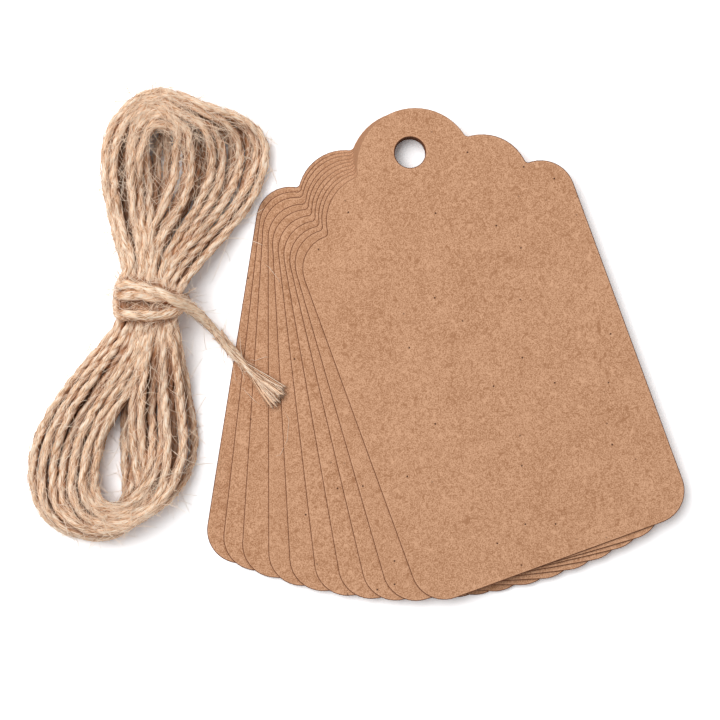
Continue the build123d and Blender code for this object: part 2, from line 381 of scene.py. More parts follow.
def kraft_materials(card):
    """The finishes of a card's face, of its cut edge and of the rim between them; the rim's dark colour is partly
    painted shade, and the face has a painted highlight along its edge.
    """
    grain = kraft_grain()
    made = []
    for name, colour, lighter, darker in (
        ("kraft_face", card.kraft, (1.30, 1.42, 1.55), (0.72, 0.64, 0.56)),
        ("kraft_cut_edge", card.cut_edge, (1.35, 1.4, 1.45), (0.65, 0.6, 0.55)),
        ("kraft_rim", card.rim_and_painted_shade, (1.5, 1.5, 1.5), (0.6, 0.6, 0.6)),
    ):
        light, dark, speck = (shade(colour, times) for times in (lighter, darker, SPECK_SHADE))
        material, tree, shader = new_material(name)
        effect = put(tree, "Group", {"node_tree": grain})
        place = put(tree, "TexCoord").outputs["Object"]
        feed(tree, effect, Vector=place, Seed=attribute(tree, "card_seed"))
        tone = blended(tree, effect.outputs["Grain"], dark, light)
        for label, strength, over in (
            ("Pale fibres", 0.8, light), ("Dark fibres", 0.8, dark), ("Specks", 0.95, speck)
        ):
            tone = blended(tree, scaled(tree, effect.outputs[label], strength), tone, over)
        # Painted highlight: paler along the face's edge
        tone = blended(tree, scaled(tree, attribute(tree, "painted_edge_highlight"), by=0.3), tone, light)
        # The rim's dark colour, cut edge and painted shade together, is made paler towards the crown
        if name == "kraft_rim":
            crown = scaled(tree, attribute(tree, "crown"), by=0.8)
            tone = blended(tree, crown, tone, shade(card.kraft, 0.85))
        roughness = ranged(tree, effect.outputs["Grain"], to_low=0.92, to_high=0.80)
        feed(tree, shader, Base_Color=tone, Roughness=roughness)
        shader.inputs["Specular IOR Level"].default_value = 0.25
        bumped(tree, shader, effect.outputs["Height"], strength=0.35, distance=0.00005)
        made.append(material)
    return made


def jute_streaks():
    """Streaks along a jute ply, and slower changes of its colour."""
    group, given, made = new_group("jute_streaks", (("Lie", "NodeSocketVector"),), ("Streaks", "Slow", "Height"))
    lie = given.outputs["Lie"]
    broad = noise(group, lie, scale=2.8, detail=2, roughness=0.6, distortion=0.3)
    thin = noise(group, lie, scale=4.6, detail=1, roughness=0.6)
    both = maths(group, "ADD", scaled(group, broad, by=0.6), scaled(group, thin, by=0.4))
    slow = noise(group, lie, scale=0.55, detail=1)
    feed(group, made, Streaks=ranged(group, both, low=0.38, high=0.60))
    feed(group, made, Slow=ranged(group, slow, low=0.3, high=0.7), Height=maths(group, "ADD", broad, thin))
    return group


def ply_material(twine):
    """Twisted jute, streaked along the ply, with shade painted into the seams between its plies, down the
    strands' lower sides and under other strands.
    """
    material, tree, shader = new_material("jute_ply")
    effect = put(tree, "Group", {"node_tree": jute_streaks()})
    feed(tree, effect, Lie=attribute(tree, "lie", "Vector"))
    streaks, painted_light_level = effect.outputs["Streaks"], attribute(tree, "painted_light_level")
    tone = blended(tree, effect.outputs["Slow"], shade(twine.straw, 0.86), shade(twine.straw, 1.07))
    dark = shade(twine.straw, (0.50, 0.365, 0.275))
    tone = blended(tree, ranged(tree, streaks, high=0.42), dark, tone)
    tone = blended(tree, ranged(tree, streaks, low=0.42, high=0.9), tone, twine.pale)
    tail = scaled(tree, attribute(tree, "tail"), by=0.28)
    tone = blended(tree, tail, tone, shade(twine.pale, (1.0, 0.95, 0.84)))
    # Painted shade: dark brown where the painted light level is low, with less specular there
    tone = blended(tree, painted_light_level, shade(twine.straw, (0.36, 0.185, 0.10)), tone)
    roughness = ranged(tree, streaks, to_low=0.9, to_high=0.45)
    specular = ranged(tree, painted_light_level, low=0.2, to_high=0.9)
    feed(tree, shader, Base_Color=tone, Roughness=roughness, Specular_IOR_Level=specular)
    bumped(tree, shader, effect.outputs["Height"], strength=0.9, distance=0.0002)
    return material


def fibre_material(twine):
    """Single jute fibres, each with its own tint."""
    material, tree, shader = new_material("jute_fibre")
    tint = attribute(tree, "tint")
    tone = blended(tree, ranged(tree, tint, high=0.35), twine.brown, twine.straw)
    tone = blended(tree, ranged(tree, tint, low=0.35), tone, twine.pale)
    feed(tree, shader, Base_Color=tone, Roughness=ranged(tree, tint, to_low=0.8, to_high=0.38))
    shader.inputs["Specular IOR Level"].default_value = 0.9
    return material


def floor_material(stage):
    """A pale floor that the camera sees as white and that keeps the shadows."""
    material, tree, shader = new_material("studio_floor")
    tree.nodes.remove(shader)
    place = put(tree, "TexCoord").outputs["Object"]
    tone = blended(tree, noise(tree, place, scale=18, detail=2), shade(stage.floor, 0.985), stage.floor)
    rays = put(tree, "LightPath").outputs
    seen = maths(tree, "MAXIMUM", rays["Is Glossy Ray"], rays["Is Transmission Ray"])
    seen = maths(tree, "MAXIMUM", rays["Is Camera Ray"], seen)
    glow = blended(tree, seen, (0.0, 0.0, 0.0), shade(stage.floor, 0.6))
    both = put(tree, "AddShader")
    for colour, socket in zip((tone, glow), both.inputs):
        board = put(tree, "BsdfDiffuse")
        feed(tree, board, Color=colour)
        tree.links.new(board.outputs[0], socket)
    feed(tree, tree.nodes["Material Output"], Surface=both.outputs[0])
    return material


# Cards

FACE, CUT_EDGE, RIM = range(3)  # places of a card's finishes
ROUNDED = {"offset_type": "OFFSET", "profile": 0.5}


def new_piece(name, mesh, material_list):
    """An object at the origin for a mesh that is already in place."""
    piece = bpy.data.objects.new(name, mesh)
    for material in material_list:
        mesh.materials.append(material)
    bpy.context.scene.collection.objects.link(piece)
    return piece


def circles_meet(centre_a, radius_a, centre_b, radius_b):
    """Upper meeting point of two circles, the second to the right of the first."""
    way = centre_b - centre_a
    along = (way.length_squared + radius_a**2 - radius_b**2) / (2 * way.length)
    aside = math.sqrt(radius_a**2 - along**2)
    return centre_a + along * way.normalized() + aside * Vector((-way.y, way.x, 0)).normalized()


def spin_on(bm, start, centre, angle, steps):
    """Spins a vertex about a centre, and gives the last vertex."""
    spun = bmesh.ops.spin(bm, geom=[start], cent=centre, axis=(0, 0, 1), angle=angle, steps=steps)
    return [v for v in spun["geom_last"] if isinstance(v, bmesh.types.BMVert)][0]


def arc_on(bm, start, centre, end, steps):
    """Spins a vertex clockwise about a centre as far as a point, and gives the last vertex."""
    first, last = start.co - centre, end - centre
    cosine = first.dot(last) / (first.length * last.length)
    return spin_on(bm, start, centre, -math.acos(max(-1.0, min(1.0, cosine))), steps)


def line_on(bm, start, end):
    """Extrudes a vertex along a straight edge, and gives the new vertex."""
    vertex = bmesh.ops.extrude_vert_indiv(bm, verts=[start])["verts"][0]
    vertex.co = end
    return vertex


def draw_outline(bm, card):
    """Lays a card's flat outline and its mirrored half, and gives the notches of the right half."""
    half, top = card.width / 2, HOLE_DROP * MM
    foot = top - card.length
    crown = Vector((0, top - CROWN_RADIUS * MM, 0))
    scallop = Vector((half - SCALLOP_OFFSET * MM, top - (SCALLOP_DROP + SCALLOP_RADIUS) * MM, 0))
    shoulder = Vector((half - SHOULDER_RADIUS * MM, top - (SHOULDER_DROP + SHOULDER_RADIUS) * MM, 0))
    corner = Vector((half - CORNER_RADIUS * MM, foot + CORNER_RADIUS * MM, 0))
    upper_notch = circles_meet(crown, CROWN_RADIUS * MM, scallop, SCALLOP_RADIUS * MM)
    lower_notch = circles_meet(scallop, SCALLOP_RADIUS * MM, shoulder, SHOULDER_RADIUS * MM)

    start = bm.verts.new((0, top, 0))
    vertex = arc_on(bm, start, crown, upper_notch, ARC_STEPS)
    vertex = arc_on(bm, vertex, scallop, lower_notch, ARC_STEPS)
    vertex = arc_on(bm, vertex, shoulder, Vector((half, shoulder.y, 0)), SHOULDER_STEPS)
    vertex = line_on(bm, vertex, Vector((half, corner.y, 0)))
    vertex = arc_on(bm, vertex, corner, Vector((corner.x, foot, 0)), ARC_STEPS)
    vertex = line_on(bm, vertex, Vector((0, foot, 0)))
    vertex = line_on(bm, vertex, Vector((0, -card.hole / 2, 0)))
    vertex = spin_on(bm, vertex, (0, 0, 0), math.pi, HOLE_STEPS)
    bm.edges.new((vertex, start))
    bmesh.ops.contextual_create(bm, geom=bm.edges[:])
    bmesh.ops.mirror(bm, geom=bm.verts[:] + bm.edges[:] + bm.faces[:], axis="X", merge_dist=WELD)
    bmesh.ops.remove_doubles(bm, verts=bm.verts[:], dist=WELD)
    return upper_notch, lower_notch


def cut_card(card):
    """One card, flat on the table and not yet turned, as a bmesh."""
    bm = bmesh.new()
    notches = draw_outline(bm, card)
    sharp = [
        vertex for vertex in bm.verts for notch in notches
        if (Vector((abs(vertex.co.x), vertex.co.y, 0)) - notch).length < WELD
    ]
    bmesh.ops.bevel(
        bm, geom=sharp, offset=NOTCH_FILLET * MM, segments=5, affect="VERTICES", material=-1, **ROUNDED
    )
    raised = bmesh.ops.extrude_face_region(bm, geom=bm.faces[:])["geom"]
    raised = [v for v in raised if isinstance(v, bmesh.types.BMVert)]
    bmesh.ops.translate(bm, vec=(0, 0, card.thickness), verts=raised)
    bmesh.ops.recalc_face_normals(bm, faces=bm.faces[:])
    for face in bm.faces:
        face.material_index = FACE if abs(face.normal.z) > FLAT else CUT_EDGE
    rims = [
        edge for edge in bm.edges
        if len(edge.link_faces) == 2 and edge.link_faces[0].material_index != edge.link_faces[1].material_index
    ]
    bmesh.ops.bevel(bm, geom=rims, offset=card.rim, segments=3, affect="EDGES", material=RIM, **ROUNDED)
    tops = [face for face in bm.faces if face.material_index == FACE and face.normal.z > FLAT]
    bmesh.ops.inset_region(bm, faces=tops, thickness=0.45 * MM, use_even_offset=True, use_boundary=True)

    # Painted highlight: a pale band on the face along its edge, over the ring that the inset makes
    painted_edge_highlight = bm.verts.layers.float.new("painted_edge_highlight")
    # Share that grows towards the crown, where the rim's dark colour and its painted shade are made paler
    crown = bm.verts.layers.float.new("crown")
    for vertex in bm.verts:
        vertex[painted_edge_highlight] = float(any(face.material_index > FACE for face in vertex.link_faces))
        if vertex.co.xy.length > 1.2 * card.hole / 2:  # not the rim of the hole
            vertex[crown] = min(1.0, max(0.0, vertex.co.y / (4 * MM) + 1.0))  # ends 4 mm below the hole's middle
    return bm


class GIFTTAG_OT_cut_cards(bpy.types.Operator):
    """Cut the kraft cards and fan them out about their holes"""

    bl_idname = "gift_tag.cut_cards"
    bl_label = "Cut and fan the cards"

    def execute(self, context):
        card = context.scene.gift_tag.card
        finishes = kraft_materials(card)
        blank = cut_card(card)
        for number, degrees in enumerate(FAN_DEGREES, 1):
            node, name = f"tag_{number:02d}", f"kraft_card_{number:02d}"
            bm = blank.copy()
            turned = Matrix.Rotation(math.radians(degrees), 3, "Z")
            bmesh.ops.rotate(bm, cent=(0, 0, 0), matrix=turned, verts=bm.verts)
            bmesh.ops.translate(bm, vec=(0, 0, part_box(node)[0][2]), verts=bm.verts)
            seed = bm.verts.layers.float.new("card_seed")
            for vertex in bm.verts:
                vertex[seed] = SEED_STEP * number
            mesh = bpy.data.meshes.new(name)
            bm.to_mesh(mesh)
            bm.free()
            piece = new_piece(name, mesh, finishes)
            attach(piece, node)
            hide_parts(node)
        blank.free()
        return {"FINISHED"}


# Twine

# Laying the loops: space of a strand by diameter and where strands cross, steepest slope, sway in millimetres
PACKING, CROSSING, STEEPEST, SWAY = 0.92, 0.85, 0.42, 0.15
NEXT_POINTS = 3  # points of its own that a loop doesn't lie on
PARALLEL = 1e-9

# Waist, in millimetres: least height, ends along the hank, middle and reach; then the highest that strands go
# there and elsewhere, and the gap over the table
WAIST_LEVEL, WAIST_ENDS, WAIST, WAIST_REACH = 3, (-38, -24), (-54.0, -31.5), 12
WAIST_CEILING, LOOP_CEILING, TABLE_GAP = 8.6, 6.8, 0.05

# The last metres that take in the wrap and the tail, and how much fuller the twine is there
WRAP_LENGTH, TAIL_LENGTH, FULLER = 0.15, 0.036, 0.42

# Plies, as shares; then one turn of the streaks in metres, their stretch and their shift from ply to ply
PLY_SIDES = 8
PLY_SHARE, PLY_OFFSET, TIP_SHARE, TAIL_UNTWIST, STRAND_SHARE = 0.343, 0.42, 0.35, 0.7, 0.46
STREAK_TURN, STREAK_STRETCH, PLY_SHIFT = 0.016, 0.16, 40

# Height map: cells in a strand's radius and in the space round it, and edge in radii; then shares of the painted
# shade
CELLS, WIDE_CELLS, GRID_EDGE = 4, 7, 3
FLANK_SHARE, SUNK_SHARE, TAIL_SHARE = 0.4, 0.68, 0.6

# Fibres: metres that they keep from the table and the top, shares by chance, and places along one of the tip
FIBRE_SIDES, HAIR_STEPS = 4, 6
ABOVE_TABLE, BELOW_TOP = 0.00006, 0.0001
EXPOSED_SHARE, WRAP_HAIRS, LONG_HAIRS, BARE_TAIL = 0.85, 0.045, 0.08, 0.7
FRAY_STEPS = np.array((0, 0.14, 0.28, 0.42, 0.56, 0.70, 0.84, 0.97, 1.0))


def held(values, start, span):
    """Values from 0 at a start to 1 a span later, and held there."""
    return np.clip((values - start) / span, 0.0, 1.0)


def disc(radius):
    """Steps from a grid cell to those within a radius."""
    steps = range(-radius, radius + 1)
    return [(i, j) for i in steps for j in steps if i * i + j * j <= radius**2]


def lane_at(lanes, column):
    """A loop's lane at a place between two columns of the table."""
    before = min(int(column), len(lanes) - 1)
    after = min(before + 1, len(lanes) - 1)
    return lanes[before] + (lanes[after] - lanes[before]) * (column - before)


def settle(laid, loop, strand):
    """Lifts a loop's points onto the strands that are laid already, and eases its slopes; all in millimetres."""
    for k in range(len(loop)):
        under = np.vstack([laid, loop[: max(0, k - NEXT_POINTS)]])[: len(laid) + k - NEXT_POINTS]
        if len(under) < 2:
            continue
        start, run = under[:-1], np.diff(under, axis=0)
        flat = run[:, :2]
        share = np.clip(((loop[k, :2] - start[:, :2]) * flat).sum(axis=1) / (flat**2).sum(axis=1), 0, 1)
        foot = start + share[:, None] * run
        apart = np.minimum(np.linalg.norm(foot[:, :2] - loop[k, :2], axis=1), strand)
        rise = np.where(apart < strand, foot[:, 2] + np.sqrt(strand**2 - apart**2), 0.0)
        loop[k, 2] = min(max(loop[k, 2], rise.max()), loop[k, 3])
        if k:
            way, gap = loop[k, :2] - loop[k - 1, :2], start[:, :2] - loop[k - 1, :2]
            turn = way[0] * run[:, 1] - way[1] * run[:, 0]
            turn = np.where(abs(turn) < PARALLEL, PARALLEL, turn)
            mine = (gap[:, 0] * run[:, 1] - gap[:, 1] * run[:, 0]) / turn
            theirs = (gap[:, 0] * way[1] - gap[:, 1] * way[0]) / turn
            crossed = (mine > 0) & (mine < 1) & (theirs > 0) & (theirs < 1)
            lift = start[:, 2] + theirs * run[:, 2] + CROSSING * strand
            lift = lift - loop[k - 1, 2] - mine * (loop[k, 2] - loop[k - 1, 2])
            lift = np.where(crossed, lift, 0.0).max()
            for end in (k - 1, k):
                loop[end, 2] = min(loop[end, 2] + max(0.0, lift), loop[end, 3])
    for order in (range(1, len(loop)), range(len(loop) - 2, -1, -1)):
        for k in order:
            beside = k - order.step
            drop = STEEPEST * math.dist(loop[k, :2], loop[beside, :2])
            loop[k, 2] = max(loop[k, 2], loop[beside, 2] - drop)
    return loop


def hank_route(diameter):
    """Control points of the twine in millimetres: the loops piled on each other, the wrap and the tail."""
    strand = diameter / MM * PACKING
    laid = np.empty((0, 4))
    for turn, lanes in enumerate(LOOP_LANES):
        loop = []
        for k, (inner, outer, column, lowest) in enumerate(LOOP_STATIONS):
            share = lane_at(lanes, column)
            sway = SWAY * math.sin(2.1 * turn + 1.7 * k), SWAY * math.sin(1.3 * turn + 2.3 * k)
            place = [inner[i] + (outer[i] - inner[i]) * share + sway[i] for i in (0, 1)]
            loop.append([*place, lowest, WAIST_CEILING if lowest > WAIST_LEVEL else LOOP_CEILING])
        laid = np.vstack([laid, settle(laid, np.array(loop), strand)])
    top = max(z for _, y, z, _ in laid if WAIST_ENDS[0] < y < WAIST_ENDS[1]) + strand
    low = diameter / MM / 2 + TABLE_GAP
    route = [tuple(point[:3]) for point in laid]
    route += [(x, y, low + (top - low) * share) for x, y, share in WRAP_POINTS]
    return route + list(TAIL_POINTS)


def curve_mesh(curve):
    """The mesh that a curve makes, in the curve's stead."""
    name = curve.name
    carrier = bpy.data.objects.new(name, curve)
    mesh = bpy.data.meshes.new_from_object(carrier)
    mesh.name = name
    bpy.data.objects.remove(carrier)
    bpy.data.curves.remove(curve)
    return mesh


def spline_points(route):
    """Points in metres along the NURBS spline of control points in millimetres."""
    curve = bpy.data.curves.new("twine_route", "CURVE")
    curve.dimensions = "3D"
    spline = curve.splines.new("NURBS")
    spline.points.add(len(route) - 1)
    for point, (x, y, z) in zip(spline.points, route):
        point.co = (x * MM, y * MM, z * MM, 1.0)
    spline.order_u = 3
    spline.use_endpoint_u = True
    spline.resolution_u = 13
    mesh = curve_mesh(curve)
    points = np.array([tuple(v.co) for v in mesh.vertices])
    bpy.data.meshes.remove(mesh)
    return points


class Strand:
    """The twine's centreline in metres, with a frame that doesn't twist along it."""

    def __init__(self, twine):
        self.points = spline_points(hank_route(twine.diameter))
        self.count = len(self.points)
        steps = np.diff(self.points, axis=0)
        self.along = np.concatenate([[0.0], np.cumsum(np.linalg.norm(steps, axis=1))])
        self.length = float(self.along[-1])
        self.left = self.length - self.along
        self.step = self.length / self.count
        ahead = np.gradient(self.points, axis=0)
        self.ahead = ahead / np.linalg.norm(ahead, axis=1)[:, None]
        side = np.cross(self.ahead[0], (0.0, 0.0, 1.0))
        sides = []
        for way in self.ahead:
            side = side - way * side.dot(way)
            side = side / np.linalg.norm(side)
            sides.append(side)
        self.side = np.array(sides)
        self.over = np.cross(self.ahead, self.side)
        self.exposed = self.find_exposed(twine.diameter)
        wrapped = held(WRAP_LENGTH - self.left, 0.0, 0.01) * held(self.points[:, 2], 0.004, 0.002)
        self.tail = held(TAIL_LENGTH - self.left, 0.0, 0.006)
        self.full = 1.0 + FULLER * np.maximum(wrapped, self.tail * held(self.left, 0.004, 0.02))
        self.ply_radius = PLY_SHARE * twine.diameter
        twisted = np.gradient(self.along) * (1.0 - TAIL_UNTWIST * self.tail)
        self.turn = TURN * np.cumsum(twisted) / twine.lay
        self.turn = self.turn + 1.4 * np.sin(self.along / 0.0113) + 0.9 * np.sin(self.along / 0.0047)

    def find_exposed(self, diameter):
        """Numbers of the points that nothing lies over, thinned out at the waist."""
        cells = [tuple(cell) for cell in np.round(self.points[:, :2] / (0.7 * diameter)).astype(int)]
        tops = {}
        for cell, height in zip(cells, self.points[:, 2]):
            tops[cell] = max(height, tops.get(cell, 0.0))
        highest = np.array([tops[cell] for cell in cells])
        seen = self.points[:, 2] > highest - 0.6 * diameter
        waisted = np.linalg.norm(self.points[:, :2] - np.array(WAIST) * MM, axis=1) < WAIST_REACH * MM
        return np.flatnonzero(seen & (~waisted | (np.arange(self.count) % 4 == 0)))

    def around(self, at, angle, radius):
        """Points at an angle and a distance round the centreline."""
        across = (np.cos(angle) * radius)[:, None] * self.side[at]
        return self.points[at] + across + (np.sin(angle) * radius)[:, None] * self.over[at]

    def depth(self, places, radius):
        """How far points lie below the highest strand near them, and how much round them is covered."""
        cell = radius / CELLS
        flat = self.points[:, :2]
        corner = flat.min(axis=0) - GRID_EDGE * radius
        size = np.ceil(np.ptp(flat, axis=0) / cell).astype(int) + 2 * GRID_EDGE * CELLS + 1
        at = np.round((flat - corner) / cell).astype(int)
        tops = np.zeros(size)
        for i, j in disc(CELLS):
            crest = math.sqrt(CELLS**2 - i * i - j * j) * cell
            np.maximum.at(tops, (at[:, 0] + i, at[:, 1] + j), self.points[:, 2] + crest)
        near = np.max([np.roll(tops, shift, (0, 1)) for shift in disc(CELLS)], axis=0)
        covered = np.mean([np.roll(tops > 0.0, shift, (0, 1)) for shift in disc(WIDE_CELLS)], axis=0)
        found = np.round((places[..., :2] - corner) / cell).astype(int)
        found = found[..., 0], found[..., 1]
        return near[found] - places[..., 2], covered[found]

    def pick(self, rng, end):
        """A random point that is not in the last stretch, mostly one that nothing lies over."""
        if rng.random() < EXPOSED_SHARE:
            choice = int(rng.choice(self.exposed))
        else:
            choice = int(rng.integers(0, self.count))
        return min(choice, self.count - 1 - int(end / self.length * self.count))

    def ply(self, number):
        """Points down the middle of one ply."""
        offset = np.full(self.count, PLY_OFFSET * self.ply_radius)
        return self.around(np.arange(self.count), self.turn + math.pi * number, offset)


def tubes(name, lines, sides):
    """A mesh of tubes along lines; each line is its points and their radii."""
    curve = bpy.data.curves.new(name, "CURVE")
    curve.dimensions = "3D"
    curve.bevel_depth = 1.0
    curve.bevel_resolution = (sides - 4) // 2
    for points, radii in lines:
        spline = curve.splines.new("POLY")
        spline.points.add(len(points) - 1)
        spline.points.foreach_set("co", np.column_stack([points, np.ones(len(points))]).ravel())
        spline.points.foreach_set("radius", radii)
    return curve_mesh(curve)


def write_values(mesh, name, values):
    """Gives every vertex of a mesh its value under a name."""
    mesh.attributes.new(name, "FLOAT", "POINT").data.foreach_set("value", np.ravel(values))


def close_ends(mesh):
    """Merges the ring that closes each tube's end, and smooths the faces."""
    bm = bmesh.new()
    bm.from_mesh(mesh)
    bmesh.ops.remove_doubles(bm, verts=bm.verts[:], dist=2e-7)
    for face in bm.faces:
        face.smooth = True
    bm.to_mesh(mesh)
    bm.free()


def add_twine_piece(name, mesh, material):
    """A piece of the twine, riding with it."""
    piece = new_piece(name, mesh, [material])
    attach(piece, "twine")
    return piece


def wave(rng, along, length):
    """A slow random wave along the twine, from -1 to 1."""
    total = np.zeros(len(along))
    for times in (1.0, 1.7, 2.9):
        total += np.sin(TURN * along * times / length + rng.uniform(0, TURN))
    return total / 3


def add_fibres(name, lines, tints, material):
    """A piece made of single fibres, each with its own tint."""
    mesh = tubes(name, lines, FIBRE_SIDES)
    values = [np.full(FIBRE_SIDES * len(points), tint) for (points, _), tint in zip(lines, tints)]
    write_values(mesh, "tint", np.concatenate(values))
    close_ends(mesh)
    add_twine_piece(name, mesh, material)


def needle(count, radius):
    """Radii of a fibre that ends in a point at both ends."""
    radii = np.full(count, radius)
    radii[[0, -1]] = 0.0
    return radii


def mixed_tint(rng, ranges, shares):
    """A random tint from one of several ranges."""
    return rng.choice([rng.uniform(low, high) for low, high in ranges], p=shares)


def card_level(x, y, card):
    """Height of the topmost card under a point, or of the table."""
    level = 0.0
    foot = HOLE_DROP * MM - card.length
    shoulder = (HOLE_DROP - SHOULDER_DROP - SHOULDER_RADIUS) * MM
    for top, degrees in zip(CARD_TOPS, FAN_DEGREES):
        turn = math.radians(degrees)
        across = x * math.cos(turn) + y * math.sin(turn)
        along = -x * math.sin(turn) + y * math.cos(turn)
        if abs(across) < card.width / 2 and foot < along < shoulder:
            level = top
    return level


class GIFTTAG_OT_wind_twine(bpy.types.Operator):
    """Wind the twine into its hank and twist its two plies"""

    bl_idname = "gift_tag.wind_twine"
    bl_label = "Wind the twine"

    def execute(self, context):
        twine = context.scene.gift_tag.twine
        strand = Strand(twine)
        rng = np.random.default_rng(11)
        thinned = TIP_SHARE + (1.0 - TIP_SHARE) * held(strand.left, 0.0, 0.012)
        sides = np.linspace(0, TURN, PLY_SIDES, endpoint=False)
        angle = (TURN * strand.along / STREAK_TURN)[:, None] + sides
        along = np.repeat(strand.along[:, None] / MM * STREAK_STRETCH, PLY_SIDES, axis=1)
        lines, lies = [], []
        for number in (0, 1):
            slub = 1.0 + 0.07 * wave(rng, strand.along, 0.0031) + 0.08 * wave(rng, strand.along, 0.017)
            radii = strand.ply_radius * slub * strand.full * thinned
            radii[[0, -1]] = 0.0
            lines.append((strand.ply(number), radii))
            lies.append(np.stack([along + PLY_SHIFT * number, np.cos(angle), np.sin(angle)], axis=-1))
        mesh = tubes("jute_plies", lines, PLY_SIDES)
        mesh.attributes.new("lie", "FLOAT_VECTOR", "POINT").data.foreach_set("vector", np.ravel(lies))

        place = np.array([tuple(v.co) for v in mesh.vertices]).reshape(2, -1, PLY_SIDES, 3)
        # Painted shade: darker at the seam between the plies, on the strands' lower sides and where other strands
        # lie over them, and less of it on the tail
        depth, covered = strand.depth(place, STRAND_SHARE * twine.diameter)
        sunk = held(depth, 0.00025, 0.0008) * held(covered, 0.72, 0.25)
        off = (place - strand.points[None, :, None, :]) / (strand.ply_radius * strand.full[None, :, None, None])
        seam = held(np.linalg.norm(off, axis=3), 0.35, 0.7)
        flank = held(off[..., 2], -0.1, 0.8)
        light = seam * (1.0 - FLANK_SHARE + FLANK_SHARE * flank) * (1.0 - SUNK_SHARE * sunk)
        write_values(mesh, "painted_light_level", 1.0 - (1.0 - light) * (1.0 - TAIL_SHARE * strand.tail[None, :, None]))
        paled = strand.tail * held(strand.left, 0.006, 0.012)
        write_values(mesh, "tail", np.tile(np.repeat(paled, PLY_SIDES), 2))
        close_ends(mesh)
        piece = add_twine_piece("jute_plies", mesh, ply_material(twine))
        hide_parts("twine_hank", "twine_tail")
        return {"FINISHED"}


def cling(rng, strand, diameter, rates):
    """One fibre that winds along the twine."""
    length = rng.uniform(0.006, 0.017)
    first = strand.pick(rng, end=0.03)
    last = min(strand.count - 1, first + length / strand.step)
    at = np.linspace(first, last, max(5, int(length / 0.0014))).astype(int)
    rate = rng.uniform(*rates)
    angle = rng.uniform(0, TURN) + (strand.along[at] - strand.along[at[0]]) * rate
    lift = np.abs(np.linspace(-1, 1, len(at))) ** 4 * rng.uniform(0.0, 0.45)
    reach = 0.42 + 0.06 * rng.random() + lift
    points = strand.around(at, angle, diameter * strand.full[at] * reach)
    points[:, 2] = np.maximum(points[:, 2], ABOVE_TABLE)
    return points, needle(len(at), rng.uniform(0.00003, 0.00006))


def stand_off(rng, strand, diameter):
    """One hair that stands off the twine, or none on most of the tail."""
    if rng.random() > WRAP_HAIRS:
        here = strand.pick(rng, end=0.012)
    else:
        here = strand.count - 1 - int(rng.uniform(0.04, 0.15) / strand.step)
    angle = rng.uniform(0, TURN)
    out = math.cos(angle) * strand.side[here] + math.sin(angle) * strand.over[here]
    out = -out if out[2] < -0.2 else out
    way = out * rng.uniform(0.25, 1.0)
    way = way + strand.ahead[here] * rng.choice([-1.0, 1.0]) * rng.uniform(0.5, 1.6)
    bend = rng.normal(0, 1, 3)
    if strand.left[here] < TAIL_LENGTH and rng.random() < BARE_TAIL:
        return None
    place = strand.points[here] + out * diameter * strand.full[here] * 0.38
    length = rng.uniform(0.0018, 0.0064) * (1.8 if rng.random() < LONG_HAIRS else 1.0)
    points = [place]
    for _ in range(HAIR_STEPS):
        way = way / np.linalg.norm(way) + bend * 0.11 - np.array((0, 0, 0.10))
        place = place + way / np.linalg.norm(way) * length / HAIR_STEPS
        points.append(place)
    points = np.array(points)
    points[:, 2] = np.clip(points[:, 2], ABOVE_TABLE, CAD_BOX[1][2] - BELOW_TOP)
    return points, needle(len(points), rng.uniform(0.000030, 0.000056))


class GIFTTAG_OT_add_fibres(bpy.types.Operator):
    """Lay the clinging fibres and the hairs on the twine"""

    bl_idname = "gift_tag.add_fibres"
    bl_label = "Add loose fibres"

    def execute(self, context):
        twine = context.scene.gift_tag.twine
        card = context.scene.gift_tag.card
        strand = Strand(twine)
        material = fibre_material(twine)
        rng = np.random.default_rng(23)
        for name, share, rates in (("clinging_fibres", 1.0, (150, 420)), ("crossing_fibres", 0.4, (-220, 120))):
            lines, tints = [], []
            for _ in range(int(twine.clinging * share)):
                lines.append(cling(rng, strand, twine.diameter, rates))
                tints.append(mixed_tint(rng, ((0.0, 0.25), (0.3, 0.7), (0.65, 1.0)), (0.28, 0.20, 0.52)))
            add_fibres(name, lines, tints, material)

        lines, tints = [], []
        for _ in range(twine.hairs):
            hair = stand_off(rng, strand, twine.diameter)
            if hair:
                lines.append(hair)
                tints.append(rng.uniform(0.6, 1.0))
        for stray in STRAY_FIBRES:
            places = [(x * MM, y * MM) for x, y in stray]
            points = np.array([(x, y, card_level(x, y, card) + 0.00012) for x, y in places])
            lines.append((points, needle(len(points), radius=0.00004)))
            tints.append(0.9)
        add_fibres("twine_hairs", lines, tints, material)
        return {"FINISHED"}


def fray(rng, strand, diameter, card):
    """One fibre of the frayed tip, from inside the twine to the slanted end."""
    first = strand.count - 1 - int(rng.uniform(0.009, 0.021) / strand.step)
    at = (first + (strand.count - 1 - first) * FRAY_STEPS).astype(int)
    angle = rng.uniform(0, TURN)
    reach = diameter * STRAND_SHARE
    spread = np.full(len(at), reach * math.sqrt(rng.random()))
    root = strand.around(at, angle + strand.turn[at] * 0.15, spread)
    share = 0.5 + 0.5 * math.cos(angle) * spread[0] / reach + rng.normal(0, 0.10)
    start, end = np.array(FRAY_EDGE) * MM
    x, y = start + (end - start) * min(1.0, max(0.0, share))
    x, y = x + rng.normal(0, 0.0004), y + rng.normal(0, 0.0003)
    tip = np.array((x, y, card_level(x, y, card) + rng.uniform(0.0001, 0.0018)))
    points = root + (FRAY_STEPS**1.4)[:, None] * (tip - root[-1])
    waves = np.sin(np.linspace(0, 5, len(at)) + rng.uniform(0, 6))
    points[:, :2] += waves[:, None] * rng.normal(0, 0.00010, 2)
    lowest = np.array([card_level(x, y, card) + 0.00008 for x, y, _ in points])
    points[:, 2] = np.maximum(points[:, 2], lowest)
    return points, needle(len(at), rng.uniform(0.00006, 0.00011))


